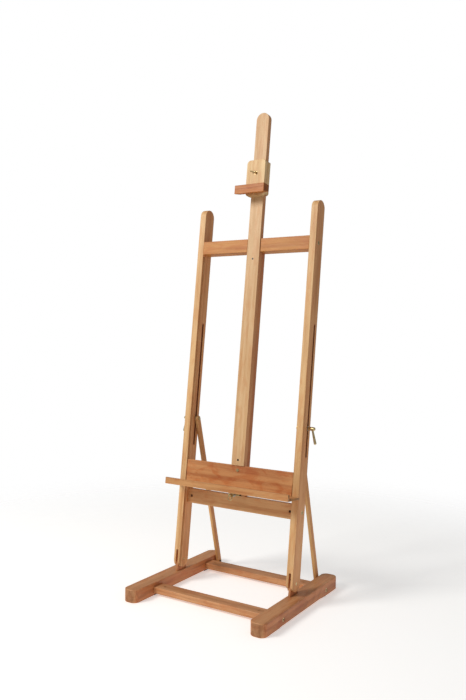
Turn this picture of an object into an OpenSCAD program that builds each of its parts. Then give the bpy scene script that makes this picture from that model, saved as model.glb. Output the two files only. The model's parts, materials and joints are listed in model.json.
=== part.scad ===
// Wooden studio easel with a ratchet mast, an H-frame that leans on two struts, and a paint shelf.
// Origin: on the floor, at the middle of the base. +X is the painter's right, +Y the back, +Z up.
// The leaning frame is drawn upright in its own frame: x across, y from front to back, z along the
// uprights from the axis of the tilt pivot. module leaning() puts it in place.

/* [Base] */
// Overall width across the two floor rails
base_w = 560; // [500:5:640]
// Length of each floor rail, front to back
rail_l = 536; // [500:4:600]
// Width of a floor rail
rail_w = 57; // [50:1:64]
// Height of a floor rail
rail_h = 44.5; // [40:0.5:50]
// Radius of the upright corners of the rails
rail_r = 22; // [12:1:26]
// Length of each foot left by the relief under a rail
foot_l = 102; // [70:2:110]
// Height of the relief between the feet
relief_h = 3; // [2:0.5:5]
// Depth of the two base crossbars, front to back
bar_d = 48; // [40:1:52]
// Height of the two base crossbars
bar_h = 22; // [20:0.5:26]
// Height of the top of the base crossbars above the floor
bar_top = 30.5; // [28:0.5:36]
// Middle of the front crossbar
front_bar_y = -144; // [-160:1:-120]
// Middle of the rear crossbar
rear_bar_y = 172; // [150:1:176]

/* [Frame] */
// Overall width across the two uprights
frame_w = 493; // [460:1:500]
// Width of an upright, seen from the front
up_w = 25; // [22:0.5:28]
// Depth of an upright, seen from the side
up_d = 55; // [50:1:60]
// Length of an upright above the tilt pivot
up_len = 1312; // [1280:2:1340]
// Distance of the tilt pivot behind the middle of the base
pivot_y = 5; // [0:1:12]
// Height of the tilt pivot above the floor
pivot_z = 84; // [82:0.5:88]
// Angle by which the frame leans back
lean = 6.85; // [5:0.05:9]
// Height of the fork in the foot of an upright, above the pivot
fork_h = 36; // [32:1:42]
// Thickness of the tongue that stands on each rail
tongue_t = 7.4; // [7:0.1:10]
// Underside of the upper crossbar, along the uprights
upper_s = 1136; // [1120:1:1160]
// Height and depth of the upper crossbar
upper_h = 48; // [40:1:52]
// Underside of the lower crossbar, along the uprights
lower_s = 208.5; // [200:0.5:212]
// Height of the lower crossbar
lower_h = 52; // [46:1:54]
// Thickness of the lower crossbar
lower_d = 25; // [20:1:26]
// Distance of the lower crossbar's front face in front of the uprights' middle plane
lower_front = 4; // [2:0.5:6]

/* [Slots and struts] */
// Width of the slot for the strut bolt
slot_w = 9; // [8.6:0.1:9.4]
// Distance of the slot behind the uprights' middle plane
slot_n = 9; // [8:0.5:10]
// Lower end of the slot, along the uprights
slot_s0 = 423; // [400:1:440]
// Upper end of the slot, along the uprights
slot_s1 = 875; // [850:1:900]
// Distance between the two pivots of a strut
strut_len = 600; // [590:1:610]
// Thickness of a strut
strut_t = 10.8; // [10:0.1:11]
// Width of a strut, seen from the side
strut_w = 20.6; // [18:0.2:22]
// Distance of the strut pivot behind the middle of the base
foot_y = 229.5; // [226:0.5:234]
// Height of the strut pivot above the floor
foot_z = 18.7; // [17:0.1:20]

/* [Mast and shelf] */
// Width of the mast
mast_w = 52; // [48:1:56]
// Thickness of the mast
mast_t = 20.5; // [18:0.5:22]
// Distance of the mast's front face in front of the uprights' middle plane
mast_front = 30; // [29:0.5:31]
// Top of the mast, along the uprights
mast_top = 1652; // [1620:1:1680]
// Thickness of the guide behind the mast
guide_t = 21; // [19:0.5:23]
// Distance from one rack window to the next
rack_pitch = 37.5; // [36:0.1:39]
// Number of rack windows
rack_n = 23; // [20:1:23]
// Underside of the shelf, along the uprights
shelf_s = 280.5; // [280.5:0.5:282]
// Thickness of the shelf floor
floor_t = 8.5; // [7:0.5:10]
// Overall width of the shelf floor and its lip
shelf_w = 502.5; // [496:0.5:510]
// Distance of the lip's front face in front of the uprights' middle plane
lip_front = 111; // [100:1:120]
// Height of the lip
lip_h = 22.5; // [20:0.5:26]
// Thickness of the lip
lip_t = 9; // [8:0.5:11]
// Top edge of the backboard, along the uprights
board_top = 368.3; // [364:0.1:374]
// Thickness of the backboard
board_t = 12; // [11:0.5:12]

/* [Canvas clamp] */
// Underside of the clamp, along the uprights
clamp_s = 1336; // [1330:1:1350]
// Height of the clamp
clamp_h = 133; // [124:1:144]
// How much higher the clamp's cheeks and rear plate end than its front plate
clamp_lift = 10; // [0:0.5:12]
// Width of the clamp
clamp_w = 76.8; // [74:0.2:82]
// Thickness of the clamp's front plate
clamp_plate_t = 21.7; // [20:0.1:23]
// Width of the jaw that holds the top of a canvas
jaw_w = 121.5; // [110:0.5:130]
// Height of the jaw
jaw_h = 32; // [28:1:36]
// Depth of the jaw
jaw_d = 38; // [34:0.5:42]
// Rise of the jaw's underside from its front to its back
jaw_rise = 9; // [0:0.5:12]

/* [Hidden] */
$fn = 48;
fit = 0.3;          // gap between wooden faces that slide on each other
bore_gap = 0.05;    // radial gap round a fixed fastener
pin_gap = 0.1;      // radial gap round a pivot
cut = 1;            // overrun of a cutting shape past a face

rail_x = base_w / 2 - rail_w / 2;
rail_in = base_w / 2 - rail_w;
up_x = frame_w / 2 - up_w / 2;
up_in = frame_w / 2 - up_w;
up_r = up_d / 2;
fork_w = tongue_t + 0.6;
mortise_d = 20;
tongue_step = rail_h + 9;
tongue_r = 20;
mast_back = mast_front - mast_t;
guide_front = mast_back - fit;
upper_mid = upper_h / 2 - up_r;
upper_bolt_s = upper_s + upper_h / 2;
lower_mid = lower_d / 2 - lower_front;
lower_bolt_s = lower_s + lower_h / 2;

// Dovetail batten on the back of the mast
dove_in = 11;
dove_out = 14;
dove_d = 7.8;
dove_gap = 0.4;
batten_s1 = 1200;

// Grooves that guide the ends of the backboard
groove_front = 23.6;
groove_w = 9.2;
groove_d = 4;
groove_s1 = 1128;
tongue_gap = 0.4;

// Backboard, lapped round the mast, and the fasteners along the mast
board_front = 26.5;
board_back = board_front - board_t;
board_s0 = shelf_s + floor_t;
lap = 6;
batten_screw_s = [388, 1110];
backboard_bolt_s = 352;

// Rack and latch
groove_floor = guide_front - dove_d - 0.5;
rack_t = 2.5;
rack_w = 20;
window_w = 13;
window_h = 27;
strap_s = 266;
strap_t = 3;
strap_w = 12;
strap_front = -68;
strap_tip = 5;
ring_n = strap_front + 4;
window_s = strap_s - fit;
bracket_n0 = -60;
bracket_n1 = -20;
bracket_t = 2;
pin_n = -38;
rivet_r = 1.5;

// Clamp
clamp_front = mast_front + fit + clamp_plate_t;
channel_x = mast_w / 2 + 0.4;
cheek_back = mast_back - fit;
cheek_front = mast_front + fit + 5.7;
rear_plate_t = 8;
clamp_r = 14;
clamp_back_r = 20;
lever_s = clamp_s + 85;

// Bolts
bolt_r = 3;
head_r = 6.4;
head_gap = 0.9;
pivot_r = 5.5;
head_l = 5.5;
barrel_r = 5;
barrel_l = 14;
barrel_in = 32;
lower_barrel_in = 16;
slot_bolt_r = 2.75;
washer_t = 1.2;

// Where the strut bolt stands in the slot: the frame leans until the strut's two pivots are
// strut_len apart
vy = pivot_y - foot_y;
vz = pivot_z - foot_z;
along = vy * sin(lean) + vz * cos(lean);
across = vy * cos(lean) - vz * sin(lean);
bolt_s = -along + sqrt(along * along + strut_len * strut_len - vy * vy - vz * vz
                       - slot_n * slot_n - 2 * slot_n * across);
bolt_y = pivot_y + bolt_s * sin(lean) + slot_n * cos(lean);
bolt_z = pivot_z + bolt_s * cos(lean) - slot_n * sin(lean);
strut_lean = atan2(bolt_y - foot_y, bolt_z - foot_z);
strut_x = up_in - 2.9 - strut_t / 2;

beech = "burlywood";
beech_dark = "peru";
beech_red = "sienna";
brass = "goldenrod";
steel = "silver";
dark_steel = "dimgray";

// ---------- helpers ----------

// Puts what is drawn upright on the tilt pivot, leaning back
module leaning() {
    translate([0, pivot_y, pivot_z])
        rotate([-lean, 0, 0])
            children();
}

// A box given by its lowest and highest corners
module block(lo, hi) {
    translate(lo)
        cube(hi - lo);
}

// A rod along X, Y or Z that starts at p
module rod_x(p, r, l) {
    translate(p)
        rotate([0, 90, 0])
            cylinder(h = l, r = r);
}

module rod_y(p, r, l) {
    translate(p)
        rotate([-90, 0, 0])
            cylinder(h = l, r = r);
}

module rod_z(p, r, l) {
    translate(p)
        cylinder(h = l, r = r);
}

// A countersunk wood screw along +Z, its head's flat face with the cross recess at z = 0
module wood_screw(r, l) {
    difference() {
        union() {
            cylinder(h = r, r1 = 2 * r, r2 = r);
            cylinder(h = l, r = r);
        }
        for (a = [45, 135])
            rotate([0, 0, a])
                translate([-1.3 * r, -0.25 * r, -cut])
                    cube([2.6 * r, 0.5 * r, cut + 0.6 * r]);
    }
}

// Hole for that screw, with a gap all round
module screw_hole(r, l) {
    translate([0, 0, -bore_gap])
        cylinder(h = r + bore_gap, r1 = 2 * (r + bore_gap), r2 = r + bore_gap);
    cylinder(h = l + bore_gap, r = r + bore_gap);
}

// Socket-head bolt along +X, its head's outer face at p
module socket_bolt(p, l) {
    difference() {
        union() {
            rod_x(p, head_r, head_l);
            rod_x(p, bolt_r, l);
        }
        translate(p)
            rotate([0, 90, 0])
                translate([0, 0, -cut])
                    cylinder(h = cut + 3, r = 3.5, $fn = 6);
    }
}

// Stepped hole for that bolt, open to -X
module bolt_hole(p, l) {
    rod_x(p - [head_l, 0, 0], head_r + head_gap, 2 * head_l);
    rod_x(p, bolt_r + bore_gap, l);
}

// Mirrors a left-hand shape to the right as well
module both_sides() {
    children();
    mirror([1, 0, 0])
        children();
}

// ---------- base ----------

// Left rail; the right one is its mirror image
module rail_shape() {
    difference() {
        linear_extrude(height = rail_h)
            difference() {
                translate([-rail_x - rail_w / 2, -rail_l / 2])
                    square([rail_w, rail_l]);
                rail_corner_cuts();
            }
        block([-base_w / 2 - cut, foot_l - rail_l / 2, -cut],
              [-rail_in + cut, rail_l / 2 - foot_l, relief_h]);
        tongue_mortise();
        for (y = [front_bar_y, rear_bar_y])
            bolt_hole([-base_w / 2 + head_l, y, bar_top - bar_h / 2], rail_w);
        rod_x([-rail_in - 22, foot_y, foot_z], 2.5 + bore_gap, 22 + cut);
        tongue_screw_places()
            screw_hole(2, 34);
    }
}

// What is taken off the four upright corners of the left rail, seen from above
module rail_corner_cuts() {
    for (sx = [-1, 1], sy = [-1, 1])
        translate([-rail_x + sx * (rail_w / 2 - rail_r), sy * (rail_l / 2 - rail_r)])
            scale([sx, sy])
                difference() {
                    square(rail_r + cut);
                    circle(r = rail_r);
                }
}

module tongue_mortise() {
    block([-up_x - tongue_t / 2 - bore_gap, pivot_y - up_r - bore_gap, rail_h - mortise_d - bore_gap],
          [-up_x + tongue_t / 2 + bore_gap, pivot_y + up_r + bore_gap, rail_h + cut]);
}

module tongue_screw_places() {
    for (dy = [-15, 15])
        translate([-up_x, pivot_y + dy, relief_h])
            children();
}

module rail_left() {
    color(beech_dark)
        rail_shape();
}

module rail_right() {
    color(beech_dark)
        mirror([1, 0, 0])
            rail_shape();
}

// A crossbar between the rails, with holes for a bolt and a barrel nut at each end
module base_crossbar(y) {
    mid_z = bar_top - bar_h / 2;
    color(beech_dark)
        difference() {
            block([-rail_in, y - bar_d / 2, bar_top - bar_h], [rail_in, y + bar_d / 2, bar_top]);
            both_sides() {
                rod_x([-rail_in - cut, y, mid_z], bolt_r + bore_gap, barrel_in + 10);
                rod_z([-rail_in + barrel_in, y, mid_z - barrel_l / 2], barrel_r + bore_gap, bar_h);
            }
        }
}

module base_crossbar_front() {
    base_crossbar(front_bar_y);
}

module base_crossbar_rear() {
    base_crossbar(rear_bar_y);
}

module base_bolts() {
    color(brass)
        both_sides()
            for (y = [front_bar_y, rear_bar_y])
                socket_bolt([-base_w / 2 + 1, y, bar_top - bar_h / 2], rail_w - 1 + barrel_in + 8);
}

// A round nut with a cross hole for its bolt along X and a screwdriver slot; its axis is Z
module barrel_nut() {
    difference() {
        translate([0, 0, -barrel_l / 2])
            cylinder(h = barrel_l, r = barrel_r);
        rod_x([-barrel_r - cut, 0, 0], bolt_r + bore_gap, 2 * (barrel_r + cut));
        block([-0.6, -barrel_r - cut, barrel_l / 2 - 1.5], [0.6, barrel_r + cut, barrel_l / 2 + cut]);
    }
}

module base_barrel_nuts() {
    color(dark_steel)
        both_sides()
            for (y = [front_bar_y, rear_bar_y])
                translate([-rail_in + barrel_in, y, bar_top - bar_h / 2])
                    barrel_nut();
}

// Board on edge that stands on the left rail, with a narrower round top in the upright's fork
module tongue_shape() {
    difference() {
        union() {
            block([-up_x - tongue_t / 2, pivot_y - up_r, rail_h - mortise_d],
                  [-up_x + tongue_t / 2, pivot_y + up_r, tongue_step]);
            translate([tongue_t / 2 - up_x, pivot_y, 0])
                rotate([90, 0, -90])
                    linear_extrude(height = tongue_t)
                        polygon([[-up_r, tongue_step - 1], [up_r, tongue_step - 1], [up_r, tongue_step],
                                 [tongue_r, pivot_z], [-tongue_r, pivot_z], [-up_r, tongue_step]]);
            rod_x([-up_x - tongue_t / 2, pivot_y, pivot_z], tongue_r, tongue_t);
        }
        rod_x([-up_x - tongue_t, pivot_y, pivot_z], pivot_r + bore_gap, 2 * tongue_t);
        tongue_screw_places()
            screw_hole(2, 34);
    }
}

module tongue_left() {
    color(beech_dark)
        tongue_shape();
}

module tongue_right() {
    color(beech_dark)
        mirror([1, 0, 0])
            tongue_shape();
}

module tongue_screws() {
    color(steel)
        both_sides()
            tongue_screw_places()
                wood_screw(2, 34);
}

// Rubber pads in the relief, just inside the feet
module foot_pads() {
    pad_l = 22;
    color("black")
        both_sides()
            for (sy = [-1, 1])
                block([-base_w / 2 + 6, sy * (rail_l / 2 - foot_l - pad_l / 2) - pad_l / 2, 0],
                      [-rail_in - 0.5, sy * (rail_l / 2 - foot_l - pad_l / 2) + pad_l / 2, relief_h]);
}

// Steel pin through the fork and the tongue
module pivot_pin() {
    color(brass)
        rod_x([-up_x - up_w / 2, pivot_y, pivot_z], pivot_r, up_w);
}

module pivot_pin_left() {
    pivot_pin();
}

module pivot_pin_right() {
    mirror([1, 0, 0])
        pivot_pin();
}

// Shoulder screws in the rails' inner faces that carry the feet of the struts
module strut_pivot_screws() {
    inner = strut_x - strut_t / 2 - 0.3;
    color(dark_steel)
        both_sides() {
            rod_x([-rail_in - 20, foot_y, foot_z], 2.5, rail_in + 20 - inner);
            difference() {
                rod_x([-inner, foot_y, foot_z], 5, 2.5);
                block([-inner + 1.5, foot_y - 6, foot_z - 0.6], [-inner + 3, foot_y + 6, foot_z + 0.6]);
            }
        }
}

module strut_foot_washers() {
    gap = rail_in - strut_x - strut_t / 2;
    color(steel)
        both_sides()
            difference() {
                rod_x([-rail_in, foot_y, foot_z], 7, gap - 0.3);
                rod_x([-rail_in - cut, foot_y, foot_z], 2.5 + bore_gap, gap + 2 * cut);
            }
}

// ---------- leaning frame ----------

// Left upright, drawn upright on the pivot
module upright_shape() {
    difference() {
        union() {
            block([-up_x - up_w / 2, -up_r, 0], [-up_in, up_r, up_len - up_r]);
            for (s = [0, up_len - up_r])
                rod_x([-up_x - up_w / 2, 0, s], up_r, up_w);
        }
        // fork
        block([-up_x - fork_w / 2, -up_r - cut, -up_r - cut], [-up_x + fork_w / 2, up_r + cut, fork_h]);
        rod_x([-frame_w / 2 - cut, 0, 0], pivot_r + pin_gap, up_w + 2 * cut);
        // slot for the strut bolt
        block([-frame_w / 2 - cut, slot_n - slot_w / 2, slot_s0 + slot_w / 2],
              [-up_in + cut, slot_n + slot_w / 2, slot_s1 - slot_w / 2]);
        for (s = [slot_s0 + slot_w / 2, slot_s1 - slot_w / 2])
            rod_x([-frame_w / 2 - cut, slot_n, s], slot_w / 2, up_w + 2 * cut);
        // groove for the end of the backboard
        block([-up_in - groove_d, -groove_front, -up_r - cut],
              [-up_in + cut, -groove_front + groove_w, groove_s1]);
        bolt_hole([-frame_w / 2 + head_l, upper_mid, upper_bolt_s], up_w);
        bolt_hole([-frame_w / 2 + head_l, lower_mid, lower_bolt_s], up_w);
    }
}

module upright_left() {
    color(beech)
        leaning()
            upright_shape();
}

module upright_right() {
    color(beech)
        leaning()
            mirror([1, 0, 0])
                upright_shape();
}

// Outline of the dovetail behind the mast, seen along the mast, with a gap all round
module dovetail(gap) {
    polygon([[-dove_in - gap, -mast_back], [dove_in + gap, -mast_back],
             [dove_out + gap, dove_d - mast_back + gap], [-dove_out - gap, dove_d - mast_back + gap]]);
}

// Dovetailed groove for the batten, over a stretch of the mast's height
module dove_groove(s0, s1) {
    translate([0, 0, s0])
        linear_extrude(height = s1 - s0)
            dovetail(dove_gap);
}

module guide_screw_places() {
    for (sx = [-1, 1], end = [0, 1])
        translate([sx * 20, 6, end == 0 ? lower_s : upper_s + upper_h])
            mirror([0, 0, end])
                children();
}

module upper_crossbar() {
    notch_x = mast_w / 2 + 2;
    color(beech_dark)
        leaning()
            difference() {
                block([-up_in, -up_r, upper_s], [up_in, upper_h - up_r, upper_s + upper_h]);
                block([-notch_x, -up_r - cut, upper_s - cut],
                      [notch_x, -guide_front, upper_s + upper_h + cut]);
                dove_groove(upper_s - cut, upper_s + upper_h + cut);
                both_sides() {
                    rod_x([-up_in - cut, upper_mid, upper_bolt_s], bolt_r + bore_gap, barrel_in + 10);
                    rod_y([-up_in + barrel_in, upper_mid - barrel_l / 2, upper_bolt_s],
                          barrel_r + bore_gap, upper_h);
                }
                guide_screw_places()
                    screw_hole(2.2, 75);
            }
}

module lower_crossbar() {
    color(beech_dark)
        leaning()
            difference() {
                block([-up_in, -lower_front, lower_s], [up_in, lower_d - lower_front, lower_s + lower_h]);
                both_sides() {
                    rod_x([-up_in - cut, lower_mid, lower_bolt_s], bolt_r + bore_gap, lower_barrel_in + 10);
                    rod_y([-up_in + lower_barrel_in, -lower_front - cut, lower_bolt_s],
                          barrel_r + bore_gap, lower_mid + lower_front + barrel_l / 2 + cut);
                }
                guide_screw_places()
                    screw_hole(2.2, 75);
            }
}

module frame_bolts() {
    color(brass)
        leaning()
            both_sides() {
                socket_bolt([-frame_w / 2 + 0.5, upper_mid, upper_bolt_s], up_w + barrel_in + 6);
                socket_bolt([-frame_w / 2 + 0.5, lower_mid, lower_bolt_s], up_w + lower_barrel_in + 6);
            }
}

module frame_barrel_nuts() {
    color(dark_steel)
        leaning()
            both_sides() {
                translate([-up_in + barrel_in, upper_mid, upper_bolt_s])
                    rotate([-90, 0, 0])
                        barrel_nut();
                translate([-up_in + lower_barrel_in, lower_mid, lower_bolt_s])
                    rotate([90, 0, 0])
                        barrel_nut();
            }
}

// Board behind the mast that guides it and carries the rack
module mast_guide() {
    s0 = lower_s + lower_h;
    color(beech)
        leaning()
            difference() {
                block([-mast_w / 2, -guide_front, s0], [mast_w / 2, guide_t - guide_front, upper_s]);
                dove_groove(s0 - cut, upper_s + cut);
                block([-rack_w / 2 - bore_gap, -groove_floor - cut, s0 - cut],
                      [rack_w / 2 + bore_gap, rack_t - groove_floor, upper_s + cut]);
                block([-window_w / 2, rack_t - groove_floor - cut, window_s - 2],
                      [window_w / 2, rack_t - groove_floor + 7, window_s + rack_n * rack_pitch]);
                guide_screw_places()
                    screw_hole(2.2, 75);
                rack_screw_places()
                    cylinder(h = 10, r = 1.25 + bore_gap);
            }
}

module guide_screws() {
    color(steel)
        leaning()
            guide_screw_places()
                wood_screw(2.2, 75);
}

// Middle of each rack screw, on the strip's front face, pointing back
module rack_screw_places() {
    for (i = [4, 11, 18])
        translate([8.2, -groove_floor, window_s + i * rack_pitch + window_h / 2])
            rotate([-90, 0, 0])
                children();
}

// Steel strip with the windows that the latch drops into
module rack_strip() {
    color(dark_steel)
        leaning()
            difference() {
                block([-rack_w / 2, -groove_floor, lower_s + lower_h],
                      [rack_w / 2, rack_t - groove_floor, upper_s]);
                for (i = [0 : rack_n - 1])
                    block([-window_w / 2, -groove_floor - cut, window_s + i * rack_pitch],
                          [window_w / 2, rack_t - groove_floor + cut, window_s + i * rack_pitch + window_h]);
                rack_screw_places()
                    translate([0, 0, -cut])
                        cylinder(h = rack_t + 2 * cut, r = 1.25 + bore_gap);
            }
}

module rack_screws() {
    color(steel)
        leaning()
            rack_screw_places()
                cylinder(h = 9, r = 1.25);
}

// ---------- mast and shelf ----------

module mast_board() {
    color(beech)
        leaning()
            difference() {
                union() {
                    block([-mast_w / 2, -mast_front, board_top],
                          [mast_w / 2, -mast_back, mast_top - mast_w / 2]);
                    rod_y([0, -mast_front, mast_top - mast_w / 2], mast_w / 2, mast_t);
                    block([-mast_w / 2, lap - board_front, board_s0], [mast_w / 2, -mast_back, board_top]);
                }
                for (s = batten_screw_s)
                    translate([0, -mast_front, s])
                        rotate([-90, 0, 0])
                            screw_hole(1.9, 27);
                rod_y([0, -mast_front, backboard_bolt_s], bolt_r + bore_gap, mast_t + cut);
            }
}

module mast_batten() {
    color(beech)
        leaning()
            difference() {
                translate([0, 0, board_s0])
                    linear_extrude(height = batten_s1 - board_s0)
                        dovetail(0);
                for (s = batten_screw_s)
                    rod_y([0, -mast_back - cut, s], 1.9 + bore_gap, 8);
                rod_y([0, -mast_back - cut, backboard_bolt_s], 5.2, dove_d + 2 * cut);
            }
}

module batten_screws() {
    color(dark_steel)
        leaning()
            for (s = batten_screw_s)
                translate([0, -mast_front, s])
                    rotate([-90, 0, 0])
                        wood_screw(1.9, 26.5);
}

module shelf_backboard() {
    tongue_x = up_in + groove_d - 0.6;
    color(beech_red)
        leaning()
            difference() {
                union() {
                    block([-up_in + 2, -board_front, board_s0], [up_in - 2, -board_back, board_top]);
                    block([-tongue_x, tongue_gap - groove_front, board_s0],
                          [tongue_x, groove_w - tongue_gap - groove_front, board_top]);
                }
                block([-mast_w / 2 - 0.1, lap - board_front - 0.1, board_s0 - cut],
                      [mast_w / 2 + 0.1, cut - board_back, board_top + cut]);
                rod_y([0, -board_front - cut, backboard_bolt_s], bolt_r + bore_gap, board_t);
                shelf_screw_places()
                    screw_hole(1.75, 30);
            }
}

// Bolt with a round head on the backboard, and its nut in the batten
module backboard_bolt() {
    color(brass)
        leaning()
            difference() {
                union() {
                    rod_y([0, -board_front, backboard_bolt_s], bolt_r, board_front - mast_back + 5.5);
                    rod_y([0, -board_front - 2, backboard_bolt_s], 5.5, 2);
                    rod_y([0, -mast_back, backboard_bolt_s], 5, 4.5);
                }
                block([-5, -board_front - 3, backboard_bolt_s - 0.6],
                      [5, -board_front - 1, backboard_bolt_s + 0.6]);
            }
}

// Screws that come up through the shelf floor into the backboard
module shelf_screw_places() {
    for (x = [-180, -60, 60, 180])
        translate([x, -board_front + board_t / 2, shelf_s])
            children();
}

module shelf_floor() {
    step_n = up_r + 1.6;
    color(beech)
        leaning()
            difference() {
                block([-shelf_w / 2, lip_t - lip_front, shelf_s], [shelf_w / 2, -board_back, board_s0]);
                both_sides()
                    block([-shelf_w / 2 - cut, -step_n, shelf_s - cut],
                          [-up_in + 2, cut - board_back, board_s0 + cut]);
                shelf_screw_places()
                    screw_hole(1.75, 30);
                bracket_screw_places()
                    cylinder(h = 9.5, r = 1.5 + bore_gap);
            }
}

// Lip glued on the floor's front edge
module shelf_lip() {
    color(beech)
        leaning()
            block([-shelf_w / 2, -lip_front, shelf_s], [shelf_w / 2, lip_t - lip_front, shelf_s + lip_h]);
}

module shelf_screws() {
    color(steel)
        leaning()
            shelf_screw_places()
                wood_screw(1.75, 29);
}

// ---------- latch under the shelf ----------

module bracket_screw_places() {
    for (sx = [-1, 1])
        translate([sx * 15, (bracket_n0 + bracket_n1) / 2, shelf_s - bracket_t])
            children();
}

// Steel channel screwed under the shelf, with a window for the strap in each ear
module latch_bracket() {
    mid_s = strap_s + strap_t / 2;
    color(brass)
        leaning()
            difference() {
                union() {
                    block([-20, bracket_n0, shelf_s - bracket_t], [20, bracket_n1, shelf_s]);
                    for (n = [bracket_n0, bracket_n1 - bracket_t])
                        block([-10, n, mid_s - 6], [10, n + bracket_t, shelf_s - bracket_t]);
                }
                block([-strap_w / 2 - 0.2, bracket_n0 - cut, strap_s - 0.2],
                      [strap_w / 2 + 0.2, bracket_n1 + cut, strap_s + strap_t + 0.2]);
                bracket_screw_places()
                    translate([0, 0, -cut])
                        cylinder(h = bracket_t + 2 * cut, r = 1.5 + bore_gap);
            }
}

module latch_bracket_screws() {
    color(steel)
        leaning()
            bracket_screw_places() {
                cylinder(h = 9, r = 1.5);
                translate([0, 0, -1.8])
                    cylinder(h = 1.8, r1 = 2, r2 = 3);
            }
}

// Coil spring round the strap, between the front ear and the cross pin
module latch_spring() {
    wire_r = 0.7;
    coil_r = 7.3;
    turns = 5;
    steps = 12;
    sides = 6;
    l = pin_n - 1.3 - wire_r - (bracket_n0 + bracket_t + wire_r);
    last = turns * steps;
    points = [for (i = [0 : last], j = [0 : sides - 1])
              let (a = 360 * i / steps, b = 360 * j / sides, r = coil_r + wire_r * cos(b))
              [r * cos(a), r * sin(a), l * i / last + wire_r * sin(b)]];
    skin = [for (i = [0 : last - 1], j = [0 : sides - 1])
            let (k = (j + 1) % sides)
            [i * sides + j, (i + 1) * sides + j, (i + 1) * sides + k, i * sides + k]];
    ends = [[for (j = [0 : sides - 1]) j], [for (j = [sides - 1 : -1 : 0]) last * sides + j]];
    color(steel)
        leaning()
            translate([0, bracket_n0 + bracket_t + wire_r, strap_s + strap_t / 2])
                rotate([-90, 0, 0])
                    polyhedron(points = points, faces = concat(skin, ends));
}

// Steel bolt that slides under the shelf; its sloping tip rides over the rack as the mast rises
module latch_strap() {
    color(brass)
        leaning()
            difference() {
                translate([strap_w / 2, 0, 0])
                    rotate([0, -90, 0])
                        linear_extrude(height = strap_w)
                            polygon([[strap_s, strap_front], [strap_s, strap_tip], [strap_s + 0.8, strap_tip],
                                     [strap_s + strap_t, strap_tip - 4], [strap_s + strap_t, strap_front]]);
                rod_x([-strap_w, pin_n, strap_s + strap_t / 2], 1 + bore_gap, 2 * strap_w);
                rod_z([0, ring_n, strap_s - cut], rivet_r + bore_gap, strap_t + 2 * cut);
            }
}

module latch_cross_pin() {
    color(steel)
        leaning()
            rod_x([-9, pin_n, strap_s + strap_t / 2], 1, 18);
}

// Brass ring that hangs from the front of the strap, with a riveted tab
module latch_finger_ring() {
    ring_r = 7.5;
    wire_r = 1.6;
    tab_t = 1.8;
    color(brass)
        leaning() {
            rod_z([0, ring_n, strap_s - tab_t], 3.5, tab_t);
            rod_z([0, ring_n, strap_s - tab_t], rivet_r, tab_t + strap_t + 0.8);
            translate([0, ring_n, strap_s - tab_t - ring_r - wire_r + 0.5])
                rotate([90, 0, 0])
                    rotate_extrude()
                        translate([ring_r, 0])
                            circle(r = wire_r, $fn = 24);
        }
}

// ---------- canvas clamp on the mast ----------

// Front view of the clamp with its rounded corners, from one depth to another
module clamp_outline(n0, n1, lift) {
    translate([0, n1, 0])
        rotate([90, 0, 0])
            linear_extrude(height = n1 - n0)
                union() {
                    translate([-clamp_w / 2, clamp_s + lift + clamp_r])
                        square([clamp_w, clamp_h - lift - 2 * clamp_r]);
                    translate([clamp_r - clamp_w / 2, clamp_s + lift])
                        square([clamp_w - 2 * clamp_r, clamp_h - lift]);
                    for (sx = [-1, 1], s = [lift + clamp_r, clamp_h - clamp_r])
                        translate([sx * (clamp_w / 2 - clamp_r), clamp_s + s])
                            circle(r = clamp_r);
                }
}

// Plan of the clamp's back, with its two rounded corners
module clamp_back_plan() {
    r = clamp_back_r;
    back = rear_plate_t - cheek_back;
    translate([0, 0, clamp_s - cut])
        linear_extrude(height = clamp_h + 2 * cut)
            union() {
                translate([-clamp_w / 2, -clamp_front])
                    square([clamp_w, clamp_front + back - r]);
                translate([r - clamp_w / 2, -clamp_front])
                    square([clamp_w - 2 * r, clamp_front + back]);
                for (sx = [-1, 1])
                    translate([sx * (clamp_w / 2 - r), back - r])
                        circle(r = r);
            }
}

module jaw_screw_places() {
    for (sx = [-1, 1])
        translate([sx * 16, -mast_front - fit, clamp_s + jaw_h / 2])
            rotate([90, 0, 0])
                children();
}

// Front plate, rebated at both sides for the cheeks
module clamp_front_plate() {
    color(beech)
        leaning()
            difference() {
                clamp_outline(-clamp_front, -mast_front - fit, 0);
                both_sides()
                    block([-clamp_w / 2 - cut, -cheek_front, clamp_s - cut],
                          [-channel_x, cut - mast_front, clamp_s + clamp_h + cut]);
                rod_y([0, -clamp_front - cut, lever_s], 5 + bore_gap, 12 + cut);
                rod_y([0, -clamp_front, lever_s], 3.2, clamp_plate_t);
                rod_y([0, -mast_front - fit - 3.4, lever_s], 6.6, 3.4 + cut);
                jaw_screw_places()
                    screw_hole(2, 45);
            }
}

module clamp_rear_plate() {
    color(beech)
        leaning()
            intersection() {
                clamp_outline(-cheek_back, rear_plate_t - cheek_back, clamp_lift);
                clamp_back_plan();
            }
}

// Left cheek, glued between the two plates; the right one is its mirror image
module clamp_cheek() {
    color(beech)
        intersection() {
            clamp_outline(-cheek_front, -cheek_back, clamp_lift);
            clamp_back_plan();
            block([-clamp_w / 2 - cut, -clamp_front, clamp_s - cut],
                  [-channel_x, 0, clamp_s + clamp_h + cut]);
        }
}

module clamp_cheek_left() {
    leaning()
        clamp_cheek();
}

module clamp_cheek_right() {
    leaning()
        mirror([1, 0, 0])
            clamp_cheek();
}

// Bar with a bevelled underside that draws the top of a canvas back
module clamp_jaw() {
    color(beech_red)
        leaning()
            difference() {
                translate([-jaw_w / 2, -clamp_front, clamp_s])
                    rotate([90, 0, 90])
                        linear_extrude(height = jaw_w)
                            polygon([[-jaw_d, 0], [0, jaw_rise], [0, jaw_h], [-jaw_d, jaw_h]]);
                jaw_screw_places()
                    screw_hole(2, 45);
            }
}

module jaw_screws() {
    color(steel)
        leaning()
            jaw_screw_places()
                wood_screw(2, 44);
}

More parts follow.
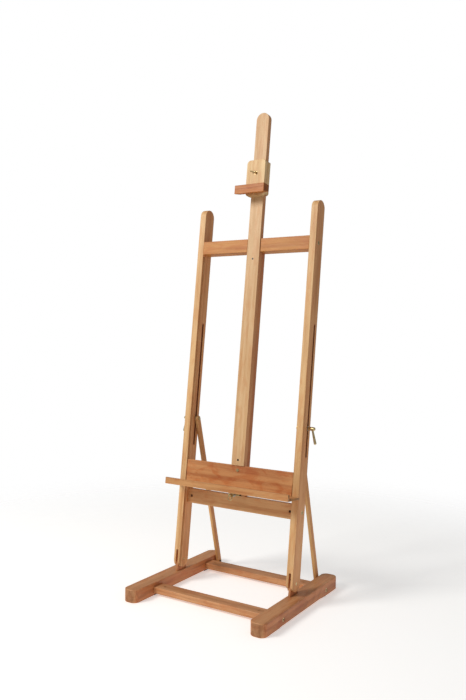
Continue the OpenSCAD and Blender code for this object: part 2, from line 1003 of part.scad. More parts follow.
// Threaded brass sleeve in the front plate
module clamp_insert() {
    color(brass)
        leaning()
            difference() {
                rod_y([0, -clamp_front, lever_s], 5, 12);
                rod_y([0, -clamp_front - cut, lever_s], bolt_r + pin_gap, 12 + 2 * cut);
            }
}

// Tapered arm with a round end, from the origin along +Z
module lever_arm(r0, r1, l) {
    cylinder(h = l, r1 = r0, r2 = r1);
    translate([0, 0, l])
        sphere(r = r1);
}

// Screw with a short brass arm that presses the pad on the mast
module clamp_lever_screw() {
    hub_l = 6;
    color(brass)
        leaning()
            translate([0, -clamp_front - fit, lever_s])
                union() {
                    rod_y([0, 0, 0], bolt_r, clamp_plate_t - 2.6);
                    rod_y([0, -hub_l, 0], 4.4, hub_l);
                    translate([0, -hub_l, 0])
                        sphere(r = 4.4);
                    translate([0, 1 - hub_l, 0])
                        rotate([0, -75, 0])
                            rotate([12, 0, 0])
                                lever_arm(2, 2.7, 17);
                }
}

module clamp_pressure_pad() {
    color(brass)
        leaning()
            rod_y([0, -mast_front - fit - 2.9, lever_s], 6, 2.6);
}

// ---------- struts and their clamps ----------

// Places a strut that is drawn on its own foot, along Z, at the left
module strut_place() {
    translate([-strut_x, foot_y, foot_z])
        rotate([-strut_lean, 0, 0])
            children();
}

module strut_shape() {
    color(beech_dark)
        difference() {
            union() {
                block([-strut_t / 2, -strut_w / 2, 0], [strut_t / 2, strut_w / 2, strut_len]);
                for (s = [0, strut_len])
                    rod_x([-strut_t / 2, 0, s], strut_w / 2, strut_t);
            }
            rod_x([-strut_t, 0, 0], 2.5 + pin_gap, 2 * strut_t);
            rod_x([-strut_t, 0, strut_len], slot_bolt_r + bore_gap, 2 * strut_t);
        }
}

module strut_left() {
    strut_place()
        strut_shape();
}

module strut_right() {
    mirror([1, 0, 0])
        strut_place()
            strut_shape();
}

// Bolt from inside the left strut out through the slot
module slot_bolt() {
    head = 3;
    l = frame_w / 2 - strut_x + strut_t / 2 + 14;
    color(brass)
        translate([0, bolt_y, bolt_z]) {
            rod_x([-strut_x + strut_t / 2 - l, 0, 0], slot_bolt_r, l);
            rod_x([-strut_x + strut_t / 2, 0, 0], 6, head);
        }
}

module slot_bolt_left() {
    slot_bolt();
}

module slot_bolt_right() {
    mirror([1, 0, 0])
        slot_bolt();
}

// One washer between strut and upright, one outside the upright
module slot_washers() {
    inner_t = up_in - strut_x - strut_t / 2 - fit;
    color(steel)
        translate([0, bolt_y, bolt_z])
            difference() {
                union() {
                    rod_x([-strut_x - strut_t / 2 - inner_t, 0, 0], 8, inner_t);
                    rod_x([-frame_w / 2 - fit - washer_t, 0, 0], 8, washer_t);
                }
                rod_x([-frame_w, 0, 0], slot_bolt_r + bore_gap, frame_w);
            }
}

module slot_washers_left() {
    slot_washers();
}

module slot_washers_right() {
    mirror([1, 0, 0])
        slot_washers();
}

// Brass lever nut on the end of the slot bolt, its arm hanging down and flaring outward
module tilt_lever() {
    start = frame_w / 2 + washer_t + 2 * fit;
    hub_l = 20;
    color(brass)
        translate([-start, bolt_y, bolt_z])
            difference() {
                union() {
                    rod_x([-hub_l, 0, 0], 6.5, hub_l);
                    translate([-hub_l, 0, 0])
                        sphere(r = 6.5);
                    translate([5 - hub_l, 0, 0])
                        rotate([0, 180 + 13, 0])
                            lever_arm(3.2, 4.8, 50);
                }
                rod_x([-15, 0, 0], slot_bolt_r + pin_gap, 20);
            }
}

module tilt_lever_left() {
    tilt_lever();
}

module tilt_lever_right() {
    mirror([1, 0, 0])
        tilt_lever();
}

// ---------- what is drawn ----------

rail_left();
rail_right();
base_crossbar_front();
base_crossbar_rear();
base_bolts();
base_barrel_nuts();
tongue_left();
tongue_right();
tongue_screws();
foot_pads();
pivot_pin_left();
pivot_pin_right();
strut_pivot_screws();
strut_foot_washers();
upright_left();
upright_right();
upper_crossbar();
lower_crossbar();
frame_bolts();
frame_barrel_nuts();
mast_guide();
guide_screws();
rack_strip();
rack_screws();
mast_board();
mast_batten();
batten_screws();
shelf_backboard();
backboard_bolt();
shelf_floor();
shelf_lip();
shelf_screws();
latch_bracket();
latch_bracket_screws();
latch_spring();
latch_strap();
latch_cross_pin();
latch_finger_ring();
clamp_front_plate();
clamp_rear_plate();
clamp_cheek_left();
clamp_cheek_right();
clamp_jaw();
jaw_screws();
clamp_insert();
clamp_lever_screw();
clamp_pressure_pad();
strut_left();
strut_right();
slot_bolt_left();
slot_bolt_right();
slot_washers_left();
slot_washers_right();
tilt_lever_left();
tilt_lever_right();
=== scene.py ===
import json
import math

import bmesh
import bpy
from mathutils import Matrix, Quaternion, Vector


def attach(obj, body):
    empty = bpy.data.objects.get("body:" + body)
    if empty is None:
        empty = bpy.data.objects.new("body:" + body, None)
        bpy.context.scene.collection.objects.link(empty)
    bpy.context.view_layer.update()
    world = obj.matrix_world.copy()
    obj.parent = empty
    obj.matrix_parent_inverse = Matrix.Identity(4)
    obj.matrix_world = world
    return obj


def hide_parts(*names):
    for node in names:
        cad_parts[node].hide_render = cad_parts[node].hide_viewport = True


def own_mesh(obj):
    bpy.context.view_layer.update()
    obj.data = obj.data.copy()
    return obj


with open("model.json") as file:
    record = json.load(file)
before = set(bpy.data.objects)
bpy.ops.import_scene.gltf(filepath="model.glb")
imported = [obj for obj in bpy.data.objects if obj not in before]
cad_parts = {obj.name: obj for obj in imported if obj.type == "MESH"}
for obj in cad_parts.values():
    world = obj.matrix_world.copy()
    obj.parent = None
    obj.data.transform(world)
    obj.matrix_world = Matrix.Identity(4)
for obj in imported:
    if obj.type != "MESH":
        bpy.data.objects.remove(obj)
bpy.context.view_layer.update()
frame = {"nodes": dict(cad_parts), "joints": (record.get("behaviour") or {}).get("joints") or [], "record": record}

# ---------------------------------------------------------------- places, taken from the frame

JOINTS = {joint["name"]: joint for joint in frame["joints"]}
ACROSS = Vector((1, 0, 0))
PIVOT = Vector(JOINTS["frame_tilt"]["pos_m"])
MAST_UP = Vector(JOINTS["mast_slide"]["axis"]).normalized()
BACK = MAST_UP.cross(ACROSS)
FOOT = Vector(JOINTS["strut_left_swing"]["pos_m"])
TILT_BOLT = Vector(JOINTS["tilt_lever_left_turn"]["pos_m"])
STRUT_UP = Vector((0, TILT_BOLT.y - FOOT.y, TILT_BOLT.z - FOOT.z)).normalized()
BODY_OF = {node: body for body, members in frame["record"]["behaviour"]["bodies"].items() for node in members}
SLOT_OF = {part["node"]: part["material_slot"] for part in frame["record"]["subparts"]}
MM = 0.001


# ---------------------------------------------------------------- shader helpers


class Tree:
    """A material's node tree, with short calls for the nodes that the materials share."""

    def __init__(self, name):
        self.material = bpy.data.materials.new(name)
        self.material.use_nodes = True
        self.nodes = self.material.node_tree.nodes
        self.links = self.material.node_tree.links
        self.shader = self.nodes["Principled BSDF"]

    def add(self, kind, **settings):
        node = self.nodes.new(kind)
        for key, value in settings.items():
            setattr(node, key, value)
        return node

    def feed(self, socket, value):
        """Links a socket into another, or sets a plain value."""
        if isinstance(value, bpy.types.NodeSocket):
            self.links.new(value, socket)
        else:
            socket.default_value = value

    def math(self, operation, a, b=0.0, c=0.0, clamp=False):
        node = self.add("ShaderNodeMath", operation=operation, use_clamp=clamp)
        for socket, value in zip(node.inputs, (a, b, c)):
            self.feed(socket, value)
        return node.outputs[0]

    def vector(self, operation, a, b=(0, 0, 0)):
        node = self.add("ShaderNodeVectorMath", operation=operation)
        self.feed(node.inputs[0], a)
        self.feed(node.inputs[1], b)
        return node.outputs["Value" if operation in ("DOT_PRODUCT", "LENGTH") else "Vector"]

    def noise(self, place, scale, detail=2.0, rough=0.5, distortion=0.0):
        node = self.add("ShaderNodeTexNoise")
        self.feed(node.inputs["Vector"], place)
        node.inputs["Scale"].default_value = scale
        node.inputs["Detail"].default_value = detail
        node.inputs["Roughness"].default_value = rough
        node.inputs["Distortion"].default_value = distortion
        return node.outputs["Fac"]

    def stretched(self, along, density, **settings):
        """Noise with so many cells a metre in each direction."""
        return self.noise(self.vector("MULTIPLY", along, density), 1.0, **settings)

    def ramp(self, value, low, high, to_low=0.0, to_high=1.0):
        """A smooth step from to_low to to_high as value goes from low to high."""
        node = self.add("ShaderNodeMapRange", interpolation_type="SMOOTHSTEP")
        for socket, number in zip(node.inputs, (value, low, high, to_low, to_high)):
            self.feed(socket, number)
        return node.outputs[0]

    def mix(self, share, a, b, blend="MIX"):
        node = self.add("ShaderNodeMix", data_type="RGBA", blend_type=blend)
        self.feed(node.inputs["Factor"], share)
        self.feed(node.inputs["A"], a)
        self.feed(node.inputs["B"], b)
        return node.outputs["Result"]

    def bump(self, height, distance, strength=1.0):
        node = self.add("ShaderNodeBump")
        node.inputs["Distance"].default_value = distance
        node.inputs["Strength"].default_value = strength
        self.feed(node.inputs["Height"], height)
        self.feed(self.shader.inputs["Normal"], node.outputs[0])

    def place(self, turn=None, shift=(0, 0, 0), scale=(1, 1, 1)):
        """Object coordinates, shifted, turned so that the grain runs along Z, then scaled."""
        coords = self.add("ShaderNodeTexCoord").outputs["Object"]
        moved = self.vector("ADD", coords, shift)
        if turn is not None:
            node = self.add("ShaderNodeVectorRotate", rotation_type="EULER_XYZ")
            self.feed(node.inputs["Vector"], moved)
            node.inputs["Rotation"].default_value = turn.to_euler("XYZ")
            moved = node.outputs[0]
        return self.vector("MULTIPLY", moved, scale)


def srgb(red, green, blue):
    """A colour given as 0 to 255, as linear red, green, blue, alpha."""
    parts = [value / 255 for value in (red, green, blue)]
    return [p / 12.92 if p <= 0.04045 else ((p + 0.055) / 1.055) ** 2.4 for p in parts] + [1.0]


# ---------------------------------------------------------------- wood

# tone: pale wood, its darker growth rings, the brown of the pores, and how strongly rings and blotches show
TONES = {
    "mast": (srgb(227, 189, 142), srgb(202, 156, 105), srgb(128, 81, 44), 0.45),
    "upright": (srgb(235, 193, 139), srgb(203, 153, 99), srgb(127, 82, 46), 0.5),
    "guide": (srgb(206, 154, 104), srgb(176, 120, 76), srgb(112, 66, 36), 0.5),
    "clamp": (srgb(239, 205, 150), srgb(216, 174, 116), srgb(138, 92, 50), 0.45),
    "crossbar": (srgb(209, 144, 72), srgb(180, 112, 49), srgb(113, 62, 23), 0.6),
    "base": (srgb(212, 155, 106), srgb(171, 114, 69), srgb(105, 65, 36), 0.65),
    "backboard": (srgb(226, 165, 106), srgb(186, 117, 67), srgb(111, 62, 31), 0.55),
    "shelf": (srgb(211, 156, 101), srgb(177, 120, 69), srgb(111, 67, 35), 0.6),
    "jaw": (srgb(202, 122, 44), srgb(160, 87, 26), srgb(99, 48, 10), 0.6),
    "low_bar": (srgb(229, 181, 126), srgb(197, 139, 86), srgb(123, 79, 46), 0.6),
    "strut": (srgb(232, 188, 124), srgb(193, 143, 88), srgb(122, 81, 45), 0.55),
}

# growth rings: their spacing, the pith's place beside the board, how far that varies, and how far it wanders
RING_GAP = 4.2 * MM
PITH = (45 * MM, 55 * MM)
PITH_SPREAD = 20 * MM
PITH_WANDER = 50 * MM

# cells of each part of the figure in a metre: twice across the grain, then along it
WANDER = (4, 4, 1.6)
STREAKS = (55, 55, 2.4)
FIBRES = (700, 700, 18)
PATCHES = (9, 9, 3.5)
PORES = (620, 620, 95)
PORE_GROUPS = (140, 140, 30)
BLOTCHES = (48, 48, 12)
SWIRLS = (32, 32, 14)

# tints: painted shade on the boards' narrow sides, blotches, wood rubbed by metal, and painted shade on the walls
# of the slot
SIDE_SHADE = srgb(250, 224, 208)
REDDENED = srgb(244, 216, 196)
RUBBED = srgb(226, 200, 178)
SLOT_WALL_SHADE = srgb(170, 120, 92)

# the strut bolt's slot: its distance behind the pivot, a little over half its width, its ends above the pivot,
# how far the wear fades past them, and the washer's radius
SLOT_BEHIND = (TILT_BOLT - PIVOT).dot(BACK)
SLOT_HALF = 4.6 * MM
SLOT_ENDS = (423 * MM, 875 * MM)
SLOT_FADE = 6 * MM
WASHER_RADIUS = 8 * MM


def slot_shade_and_wear(tree, colour, along):
    """Paints shade on the walls of the strut bolt's slot, and darkens the band beside it that the washer rubs."""
    at = tree.vector("SUBTRACT", tree.place(), tuple(PIVOT))
    behind = tree.vector("DOT_PRODUCT", at, tuple(BACK))
    off = tree.math("ABSOLUTE", tree.math("SUBTRACT", behind, SLOT_BEHIND))
    up = tree.vector("DOT_PRODUCT", at, tuple(MAST_UP))
    low, high = SLOT_ENDS
    inside = tree.math("MULTIPLY", tree.ramp(up, low - SLOT_FADE, low),
                       tree.ramp(up, high, high + SLOT_FADE, 1.0, 0.0))
    wear = tree.ramp(tree.noise(along, 90.0, detail=3, rough=0.7), 0.35, 0.7, 0.15, 0.6)
    band = tree.ramp(off, 0.8 * WASHER_RADIUS, WASHER_RADIUS, 1.0, 0.0)
    rubbed = tree.math("MULTIPLY", tree.math("MULTIPLY", band, wear), inside)
    colour = tree.mix(rubbed, colour, RUBBED, "MULTIPLY")
    # painted shade: the walls inside the slot are darkened as if shade fell there
    wall_shade = tree.math("MULTIPLY", tree.ramp(off, SLOT_HALF, 1.05 * SLOT_HALF, 1.0, 0.0), inside)
    return tree.mix(wall_shade, colour, SLOT_WALL_SHADE, "MULTIPLY")


def wood(name, tone, grain, seed, worn=False):
    """Oiled beech: growth rings round a pith outside the board, fibres, short dark pores, darker end grain.

    grain is the direction of the fibres. worn is for the rounded edges: paler, smoother and cleaner."""
    pale, ring_brown, pore_brown, figure = TONES[tone]
    tree = Tree(name)
    turn = grain.rotation_difference(Vector((0, 0, 1)))
    shift = (0.37 * seed, 0.21 * seed, 0.53 * seed)
    along = tree.place(turn, shift)

    # rings round a pith that wanders along the board
    wander = tree.stretched(along, WANDER, detail=2)
    drift = tree.math("MULTIPLY", tree.math("SUBTRACT", wander, 0.5), PITH_WANDER)
    parts = tree.add("ShaderNodeSeparateXYZ")
    tree.feed(parts.inputs[0], tree.place(turn))
    pith_x = PITH[0] + PITH_SPREAD * math.sin(seed)
    pith_y = PITH[1] + PITH_SPREAD * math.cos(2 * seed)
    side_x = tree.math("ADD", parts.outputs[0], tree.math("ADD", drift, pith_x))
    side_y = tree.math("ADD", parts.outputs[1], tree.math("ADD", drift, pith_y))
    radius = tree.math("SQRT", tree.math("ADD", tree.math("MULTIPLY", side_x, side_x),
                                         tree.math("MULTIPLY", side_y, side_y)))
    turns = tree.math("DIVIDE", radius, RING_GAP)
    late = tree.math("FRACT", turns)
    ring = tree.math("SUBTRACT", tree.ramp(late, 0.25, 0.92), tree.ramp(late, 0.94, 1.0))

    # broad streaks, fibres and pores, all stretched along the grain
    streaks = tree.stretched(along, STREAKS, detail=4, rough=0.6)
    fibres = tree.stretched(along, FIBRES, detail=3, rough=0.65)
    patches = tree.stretched(along, PATCHES, detail=2)
    pores = tree.add("ShaderNodeTexVoronoi", feature="F1")
    tree.feed(pores.inputs["Vector"], tree.vector("MULTIPLY", along, PORES))
    pores.inputs["Scale"].default_value = 1.0
    pore = tree.ramp(pores.outputs["Distance"], 0.10, 0.22, 1.0, 0.0)
    scatter = tree.stretched(along, PORE_GROUPS, detail=1)
    pore = tree.math("MULTIPLY", pore, tree.ramp(scatter, 0.42, 0.62))

    # end grain
    normal = tree.add("ShaderNodeTexCoord").outputs["Normal"]
    facing = tree.vector("DOT_PRODUCT", normal, tuple(grain))
    end = tree.ramp(tree.math("ABSOLUTE", facing), 0.75, 0.97)

    shade = tree.math("ADD", tree.math("MULTIPLY", ring, 0.55 * figure),
                      tree.ramp(streaks, 0.38, 0.68, -0.1, 0.7))
    shade = tree.math("ADD", shade, tree.ramp(patches, 0.3, 0.7, -0.16, 0.2), clamp=True)
    colour = tree.mix(shade, pale, ring_brown)
    colour = tree.mix(tree.ramp(fibres, 0.3, 0.75, 0.0, 0.4), colour, ring_brown)
    spread, swirl, redness = (SWIRLS, 1.1, 1.0) if tone == "backboard" else (BLOTCHES, 0.6, figure)
    blotches = tree.stretched(along, spread, detail=4, rough=0.6, distortion=swirl)
    colour = tree.mix(tree.ramp(blotches, 0.46, 0.64, 0.0, redness), colour, REDDENED, "MULTIPLY")
    colour = tree.mix(tree.math("MULTIPLY", pore, 0.25 if worn else 0.5), colour, pore_brown)
    end_share = tree.math("MULTIPLY", end, tree.math("ADD", 0.35, tree.math("MULTIPLY", ring, 0.3)))
    colour = tree.mix(end_share, colour, pore_brown)
    if worn:
        scuff = tree.ramp(tree.noise(along, 60.0, detail=4, rough=0.7), 0.45, 0.62, 0.05, 0.4)
        colour = tree.mix(scuff, colour, [min(1.0, 1.12 * value) for value in pale[:3]] + [1.0])
    # painted shade: faces turned across the easel, the narrow sides, are made darker and warmer than the fronts
    if grain != ACROSS and tone != "clamp":
        shaded_side = tree.math("ABSOLUTE", tree.vector("DOT_PRODUCT", normal, tuple(ACROSS)))
        colour = tree.mix(tree.ramp(shaded_side, 0.6, 0.9), colour, SIDE_SHADE, "MULTIPLY")
    if tone == "upright":
        colour = slot_shade_and_wear(tree, colour, along)
    tree.feed(tree.shader.inputs["Base Color"], colour)

    gloss = tree.ramp(fibres, 0.3, 0.7, 0.33, 0.44) if worn else tree.ramp(fibres, 0.3, 0.7, 0.42, 0.56)
    tree.feed(tree.shader.inputs["Roughness"], tree.math("ADD", gloss, tree.math("MULTIPLY", end, 0.15)))
    tree.shader.inputs["Specular IOR Level"].default_value = 0.4
    relief = tree.math("SUBTRACT", tree.math("ADD", fibres, tree.math("MULTIPLY", ring, 0.25)),
                       tree.math("MULTIPLY", pore, 0.9))
    tree.bump(relief, 0.12 * MM, 0.6)
    return tree.material


# ---------------------------------------------------------------- metal and rubber


def metal(name, clean, tarnish, gloss, tarnish_share):
    """Turned or cast metal with patches of tarnish, fine scratches and fingerprints in its gloss."""
    tree = Tree(name)
    where = tree.place()
    cloud = tree.noise(where, 95.0, detail=5, rough=0.65)
    spots = tree.noise(where, 520.0, detail=3, rough=0.6)
    scratches = tree.noise(tree.place(scale=(2600, 2600, 240)), 1.0, detail=2, rough=0.7)
    dull = tree.math("ADD", tree.ramp(cloud, 0.42, 0.68, 0.0, tarnish_share),
                     tree.ramp(spots, 0.58, 0.72, 0.0, 0.5 * tarnish_share), clamp=True)
    tree.feed(tree.shader.inputs["Base Color"], tree.mix(dull, clean, tarnish))
    tree.shader.inputs["Metallic"].default_value = 1.0
    rough = tree.math("ADD", tree.math("MULTIPLY", dull, 0.25), gloss)
    rough = tree.math("ADD", rough, tree.ramp(scratches, 0.55, 0.7, 0.0, 0.12))
    tree.feed(tree.shader.inputs["Roughness"], rough)
    tree.bump(tree.math("ADD", scratches, spots), 0.05 * MM, 0.5)
    return tree.material


def rubber(name):
    """Black rubber with a fine pebbled skin and dust."""
    tree = Tree(name)
    where = tree.place()
    pebbles = tree.noise(where, 1800.0, detail=2)
    dust = tree.noise(where, 60.0, detail=4, rough=0.7)
    tree.feed(tree.shader.inputs["Base Color"],
              tree.mix(tree.ramp(dust, 0.45, 0.75, 0.0, 0.35), srgb(28, 27, 26), srgb(92, 84, 74)))
    tree.feed(tree.shader.inputs["Roughness"], tree.ramp(pebbles, 0.3, 0.7, 0.7, 0.9))
    tree.bump(pebbles, 0.1 * MM, 0.7)
    return tree.material


BRASS = metal("aged_brass", srgb(218, 196, 146), srgb(142, 118, 78), 0.24, 0.5)
BLACK_STEEL = metal("blackened_steel", srgb(74, 68, 62), srgb(34, 30, 27), 0.34, 0.7)
ZINC_STEEL = metal("zinc_steel", srgb(196, 196, 192), srgb(128, 124, 116), 0.26, 0.4)
RUBBER = rubber("black_rubber")
FASTENING = {"brass": BRASS, "dark_steel": BLACK_STEEL, "zinc_steel": ZINC_STEEL, "rubber": RUBBER}


# ---------------------------------------------------------------- pieces that stand for CAD nodes

# vertices nearer than WELD are one; faces that meet at less than FLAT_TURN are one, at more than CORNER_TURN
# they make a corner; a run of edges ends at more than RUN_TURN, and only runs longer than LEAST_RUN are rounded
WELD = 0.01 * MM
FLAT_TURN = math.radians(0.5)
CORNER_TURN = math.radians(40)
RUN_TURN = math.radians(35)
LEAST_RUN = 15 * MM
EDGE_SEGMENTS = 3


def stand_in(name, mesh, node):
    """An object with this mesh that takes a CAD node's place."""
    piece = bpy.data.objects.new(name, mesh)
    bpy.context.scene.collection.objects.link(piece)
    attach(piece, BODY_OF[node])
    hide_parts(node)
    return piece


def runs_of_edges(edges):
    """Groups the edges that follow one another without a sharp turn."""
    group = {edge: {edge} for edge in edges}
    at_vertex = {}
    for edge in edges:
        for vertex in edge.verts:
            at_vertex.setdefault(vertex, []).append(edge)
    for vertex, meeting in at_vertex.items():
        for i, first in enumerate(meeting):
            for second in meeting[i + 1:]:
                a = (first.other_vert(vertex).co - vertex.co).normalized()
                b = (second.other_vert(vertex).co - vertex.co).normalized()
                if a.dot(b) < -math.cos(RUN_TURN) and group[first] is not group[second]:
                    joined = group[first] | group[second]
                    for edge in joined:
                        group[edge] = joined
    return {id(run): run for run in group.values()}.values()


def span(run):
    """The longest side of the box round a run of edges."""
    points = [vertex.co for edge in run for vertex in edge.verts]
    return max(max(p[k] for p in points) - min(p[k] for p in points) for k in range(3))


def rounded(node, radius, materials):
    """A copy of a CAD node with its outer edges rounded; rims of small holes stay sharp."""
    bm = bmesh.new()
    bm.from_mesh(frame["nodes"][node].data)
    bmesh.ops.remove_doubles(bm, verts=bm.verts, dist=WELD)
    bmesh.ops.dissolve_limit(bm, angle_limit=FLAT_TURN, verts=bm.verts, edges=bm.edges)
    for face in bm.faces:
        face.material_index = 0
    corners = [edge for edge in bm.edges
               if edge.is_manifold and edge.is_convex and edge.calc_face_angle() > CORNER_TURN]
    chosen = [edge for run in runs_of_edges(corners) if span(run) > LEAST_RUN for edge in run]
    bm.edges.index_update()
    chosen.sort(key=lambda edge: edge.index)
    bmesh.ops.bevel(bm, geom=chosen, offset=radius, offset_type="OFFSET", segments=EDGE_SEGMENTS, profile=0.5,
                    affect="EDGES", clamp_overlap=False, material=len(materials) - 1)
    mesh = bpy.data.meshes.new(node + "_shape")
    bm.to_mesh(mesh)
    bm.free()
    mesh.shade_smooth()
    for material in materials:
        mesh.materials.append(material)
    normals = stand_in(node + "_shape", mesh, node).modifiers.new("flat_faces", "WEIGHTED_NORMAL")
    normals.weight = 80


# node: wood tone, direction of the grain, radius of its edges in millimetres
BOARDS = {
    "rail_left": ("base", Vector((0, 1, 0)), 2.4),
    "rail_right": ("base", Vector((0, 1, 0)), 2.4),
    "base_crossbar_front": ("base", ACROSS, 1.4),
    "base_crossbar_rear": ("base", ACROSS, 1.4),
    "tongue_left": ("base", Vector((0, 0, 1)), 0.6),
    "tongue_right": ("base", Vector((0, 0, 1)), 0.6),
    "upright_left": ("upright", MAST_UP, 1.4),
    "upright_right": ("upright", MAST_UP, 1.4),
    "upper_crossbar": ("crossbar", ACROSS, 1.2),
    "lower_crossbar": ("low_bar", ACROSS, 1.2),
    "mast_guide": ("guide", MAST_UP, 0.8),
    "mast_board": ("mast", MAST_UP, 1.0),
    "mast_batten": ("mast", MAST_UP, 0.3),
    "shelf_backboard": ("backboard", ACROSS, 0.8),
    "shelf_floor": ("shelf", ACROSS, 0.6),
    "shelf_lip": ("shelf", ACROSS, 1.0),
    "clamp_front_plate": ("clamp", MAST_UP, 1.4),
    "clamp_rear_plate": ("clamp", MAST_UP, 1.0),
    "clamp_cheek_left": ("clamp", MAST_UP, 0.5),
    "clamp_cheek_right": ("clamp", MAST_UP, 0.5),
    "clamp_jaw": ("jaw", ACROSS, 1.6),
    "strut_left": ("strut", STRUT_UP, 1.2),
    "strut_right": ("strut", STRUT_UP, 1.2),
}


def dress_boards():
    for seed, (node, (tone, grain, radius)) in enumerate(BOARDS.items()):
        face = wood(node + "_wood", tone, grain, seed + 1)
        edge = wood(node + "_edge", tone, grain, seed + 1, worn=True)
        rounded(node, radius * MM, [face, edge])


# flat metal and rubber nodes: radius of their edges in millimetres
PLATES = {"rack_strip": 0.3, "latch_bracket": 0.4, "latch_strap": 0.4, "foot_pads": 0.4}

# forged levers: size of the grid on which their joints are blended, in millimetres
FORGED = {"tilt_lever_left": 0.55, "tilt_lever_right": 0.55, "clamp_lever_screw": 0.45}

# the latch's spring: its turns, the points on one turn and round the wire, and the advance of its end turns
COIL_TURNS = 6
COIL_STEPS = 28
WIRE_SIDES = 10
WIRE_RADIUS = 0.7 * MM
CLOSED_PITCH = 2.1 * WIRE_RADIUS


def blended(node, grid, material):
    """A copy of a CAD node whose hub, arm and tip run into one another as in a forging."""
    mesh = frame["nodes"][node].data.copy()
    mesh.name = node + "_shape"
    mesh.materials.clear()
    mesh.materials.append(material)
    piece = stand_in(node + "_shape", mesh, node)
    remesh = piece.modifiers.new("even_grid", "REMESH")
    remesh.mode = "VOXEL"
    remesh.voxel_size = grid
    remesh.use_smooth_shade = True
    smooth = piece.modifiers.new("blend", "SMOOTH")
    smooth.factor = 0.5
    smooth.iterations = 6


def coil_spring(node, material):
    """The latch's spring, its end turns wound close."""
    points = [vertex.co - PIVOT for vertex in frame["nodes"][node].data.vertices]
    behind = [point.dot(BACK) for point in points]
    up = [point.dot(MAST_UP) for point in points]
    front, length = min(behind), max(behind) - min(behind)
    rise = length - 2 * WIRE_RADIUS
    coil_radius = (max(up) - min(up)) / 2 - WIRE_RADIUS
    middle = PIVOT + MAST_UP * (max(up) + min(up)) / 2
    bm = bmesh.new()
    rings = []
    for i in range(COIL_TURNS * COIL_STEPS + 1):
        turned = i / COIL_STEPS
        if turned < 1:
            run = CLOSED_PITCH * turned
        elif turned > COIL_TURNS - 1:
            run = rise - CLOSED_PITCH * (COIL_TURNS - turned)
        else:
            run = CLOSED_PITCH + (rise - 2 * CLOSED_PITCH) * (turned - 1) / (COIL_TURNS - 2)
        around = 2 * math.pi * turned
        outward = ACROSS * math.cos(around) + MAST_UP * math.sin(around)
        centre = middle + outward * coil_radius + BACK * (front + WIRE_RADIUS + run)
        ring = []
        for j in range(WIRE_SIDES):
            angle = 2 * math.pi * j / WIRE_SIDES
            offset = outward * math.cos(angle) + BACK * math.sin(angle)
            ring.append(bm.verts.new(centre + offset * WIRE_RADIUS))
        rings.append(ring)
    for one, two in zip(rings, rings[1:]):
        for j in range(WIRE_SIDES):
            k = (j + 1) % WIRE_SIDES
            bm.faces.new((one[j], one[k], two[k], two[j]))
    bm.faces.new(reversed(rings[0]))
    bm.faces.new(rings[-1])
    bmesh.ops.recalc_face_normals(bm, faces=bm.faces)
    mesh = bpy.data.meshes.new("latch_coil")
    bm.to_mesh(mesh)
    bm.free()
    mesh.shade_smooth()
    mesh.materials.append(material)
    piece = stand_in("latch_coil", mesh, node)
    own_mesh(piece)


def dress_metal():
    for node, piece in frame["nodes"].items():
        if node in BOARDS:
            continue
        material = FASTENING[SLOT_OF[node]]
        if node in PLATES:
            rounded(node, PLATES[node] * MM, [material])
        elif node in FORGED:
            blended(node, FORGED[node] * MM, material)
        elif node == "latch_spring":
            coil_spring(node, material)
        else:
            piece.data.materials.clear()
            piece.data.materials.append(material)


# ---------------------------------------------------------------- stage, light and camera

FLOOR_RADIUS = 2.3
FLOOR_FADE = (0.9, 2.2)
FLOOR_GLOW = 0.38
WORLD_GLOW = 0.36
KEY_PLACE = (-1.7, -2.7, 3.0)
KEY_AIM = (0, 0, 1.1)
KEY_SIZE = 1.5
KEY_POWER = 95
CAMERA_DISTANCE = 2.5452
CAMERA_HEIGHT = 0.93876
CAMERA_AZIMUTH = math.radians(32.248)
CAMERA_YAW = math.radians(32.464)
CAMERA_TILT = math.radians(-1.72)
CAMERA_ROLL = math.radians(0.578)
LENS = 37.45


def make_stage():
    """White paper floor that fades into the white backdrop away from the easel."""
    tree = Tree("studio_floor")
    paper = tree.noise(tree.place(), 240.0, detail=3)
    tree.feed(tree.shader.inputs["Base Color"], tree.mix(paper, srgb(244, 243, 241), srgb(248, 247, 245)))
    tree.feed(tree.shader.inputs["Roughness"], tree.ramp(paper, 0.3, 0.7, 0.75, 0.85))
    tree.shader.inputs["Emission Color"].default_value = (1, 1, 1, 1)
    tree.shader.inputs["Emission Strength"].default_value = FLOOR_GLOW
    away = tree.vector("LENGTH", tree.place())
    tree.feed(tree.shader.inputs["Alpha"], tree.ramp(away, *FLOOR_FADE, 1.0, 0.0))
    bm = bmesh.new()
    bmesh.ops.create_circle(bm, cap_ends=True, radius=FLOOR_RADIUS, segments=96)
    mesh = bpy.data.meshes.new("floor")
    bm.to_mesh(mesh)
    bm.free()
    floor = bpy.data.objects.new("floor", mesh)
    floor.data.materials.append(tree.material)
    bpy.context.scene.collection.objects.link(floor)


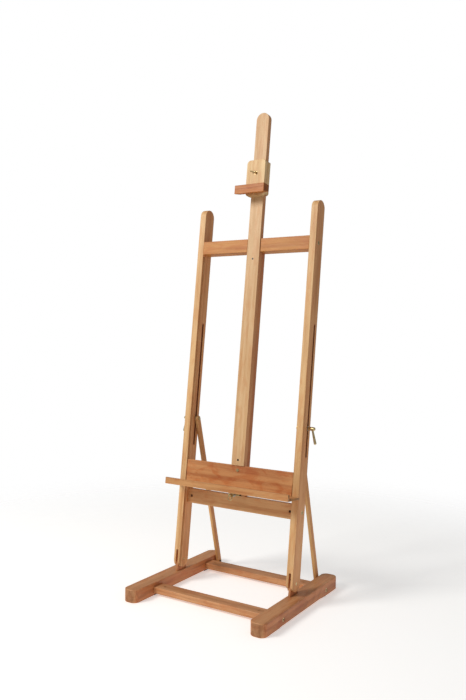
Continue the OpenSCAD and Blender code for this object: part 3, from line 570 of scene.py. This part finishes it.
def soft_box(name, place, aim, size, power, colour):
    """A round studio light of the given diameter that looks at aim."""
    light = bpy.data.lights.new(name, "AREA")
    light.shape = "DISK"
    light.size = size
    light.energy = power
    light.color = colour
    lamp = bpy.data.objects.new(name, light)
    lamp.location = place
    lamp.rotation_mode = "QUATERNION"
    lamp.rotation_quaternion = (Vector(place) - Vector(aim)).to_track_quat("Z", "Y")
    bpy.context.scene.collection.objects.link(lamp)


def make_light():
    soft_box("key", KEY_PLACE, KEY_AIM, KEY_SIZE, KEY_POWER, (1.0, 0.985, 0.96))
    world = bpy.data.worlds.new("studio")
    bpy.context.scene.world = world
    world.use_nodes = True
    nodes, links = world.node_tree.nodes, world.node_tree.links
    glow = nodes["Background"]
    glow.inputs["Color"].default_value = (1, 1, 1, 1)
    glow.inputs["Strength"].default_value = WORLD_GLOW
    seen = nodes.new("ShaderNodeBackground")
    seen.inputs["Color"].default_value = (1, 1, 1, 1)
    seen.inputs["Strength"].default_value = 1.0
    path = nodes.new("ShaderNodeLightPath")
    both = nodes.new("ShaderNodeMixShader")
    links.new(path.outputs["Is Camera Ray"], both.inputs["Fac"])
    links.new(glow.outputs[0], both.inputs[1])
    links.new(seen.outputs[0], both.inputs[2])
    links.new(both.outputs[0], nodes["World Output"].inputs["Surface"])


def make_camera():
    data = bpy.data.cameras.new("camera")
    data.lens = LENS
    data.sensor_width = 36
    camera = bpy.data.objects.new("camera", data)
    forward = Vector((-math.sin(CAMERA_YAW) * math.cos(CAMERA_TILT),
                      math.cos(CAMERA_YAW) * math.cos(CAMERA_TILT), math.sin(CAMERA_TILT)))
    right = forward.cross(Vector((0, 0, 1))).normalized()
    turned = Quaternion(-forward, CAMERA_ROLL) @ right
    up = turned.cross(forward)
    camera.matrix_world = Matrix((
        (turned.x, up.x, -forward.x, CAMERA_DISTANCE * math.sin(CAMERA_AZIMUTH)),
        (turned.y, up.y, -forward.y, -CAMERA_DISTANCE * math.cos(CAMERA_AZIMUTH)),
        (turned.z, up.z, -forward.z, CAMERA_HEIGHT),
        (0, 0, 0, 1)))
    bpy.context.scene.collection.objects.link(camera)
    bpy.context.scene.camera = camera


bpy.context.scene.view_settings.view_transform = "Standard"
make_camera()
dress_boards()
dress_metal()
make_stage()
make_light()
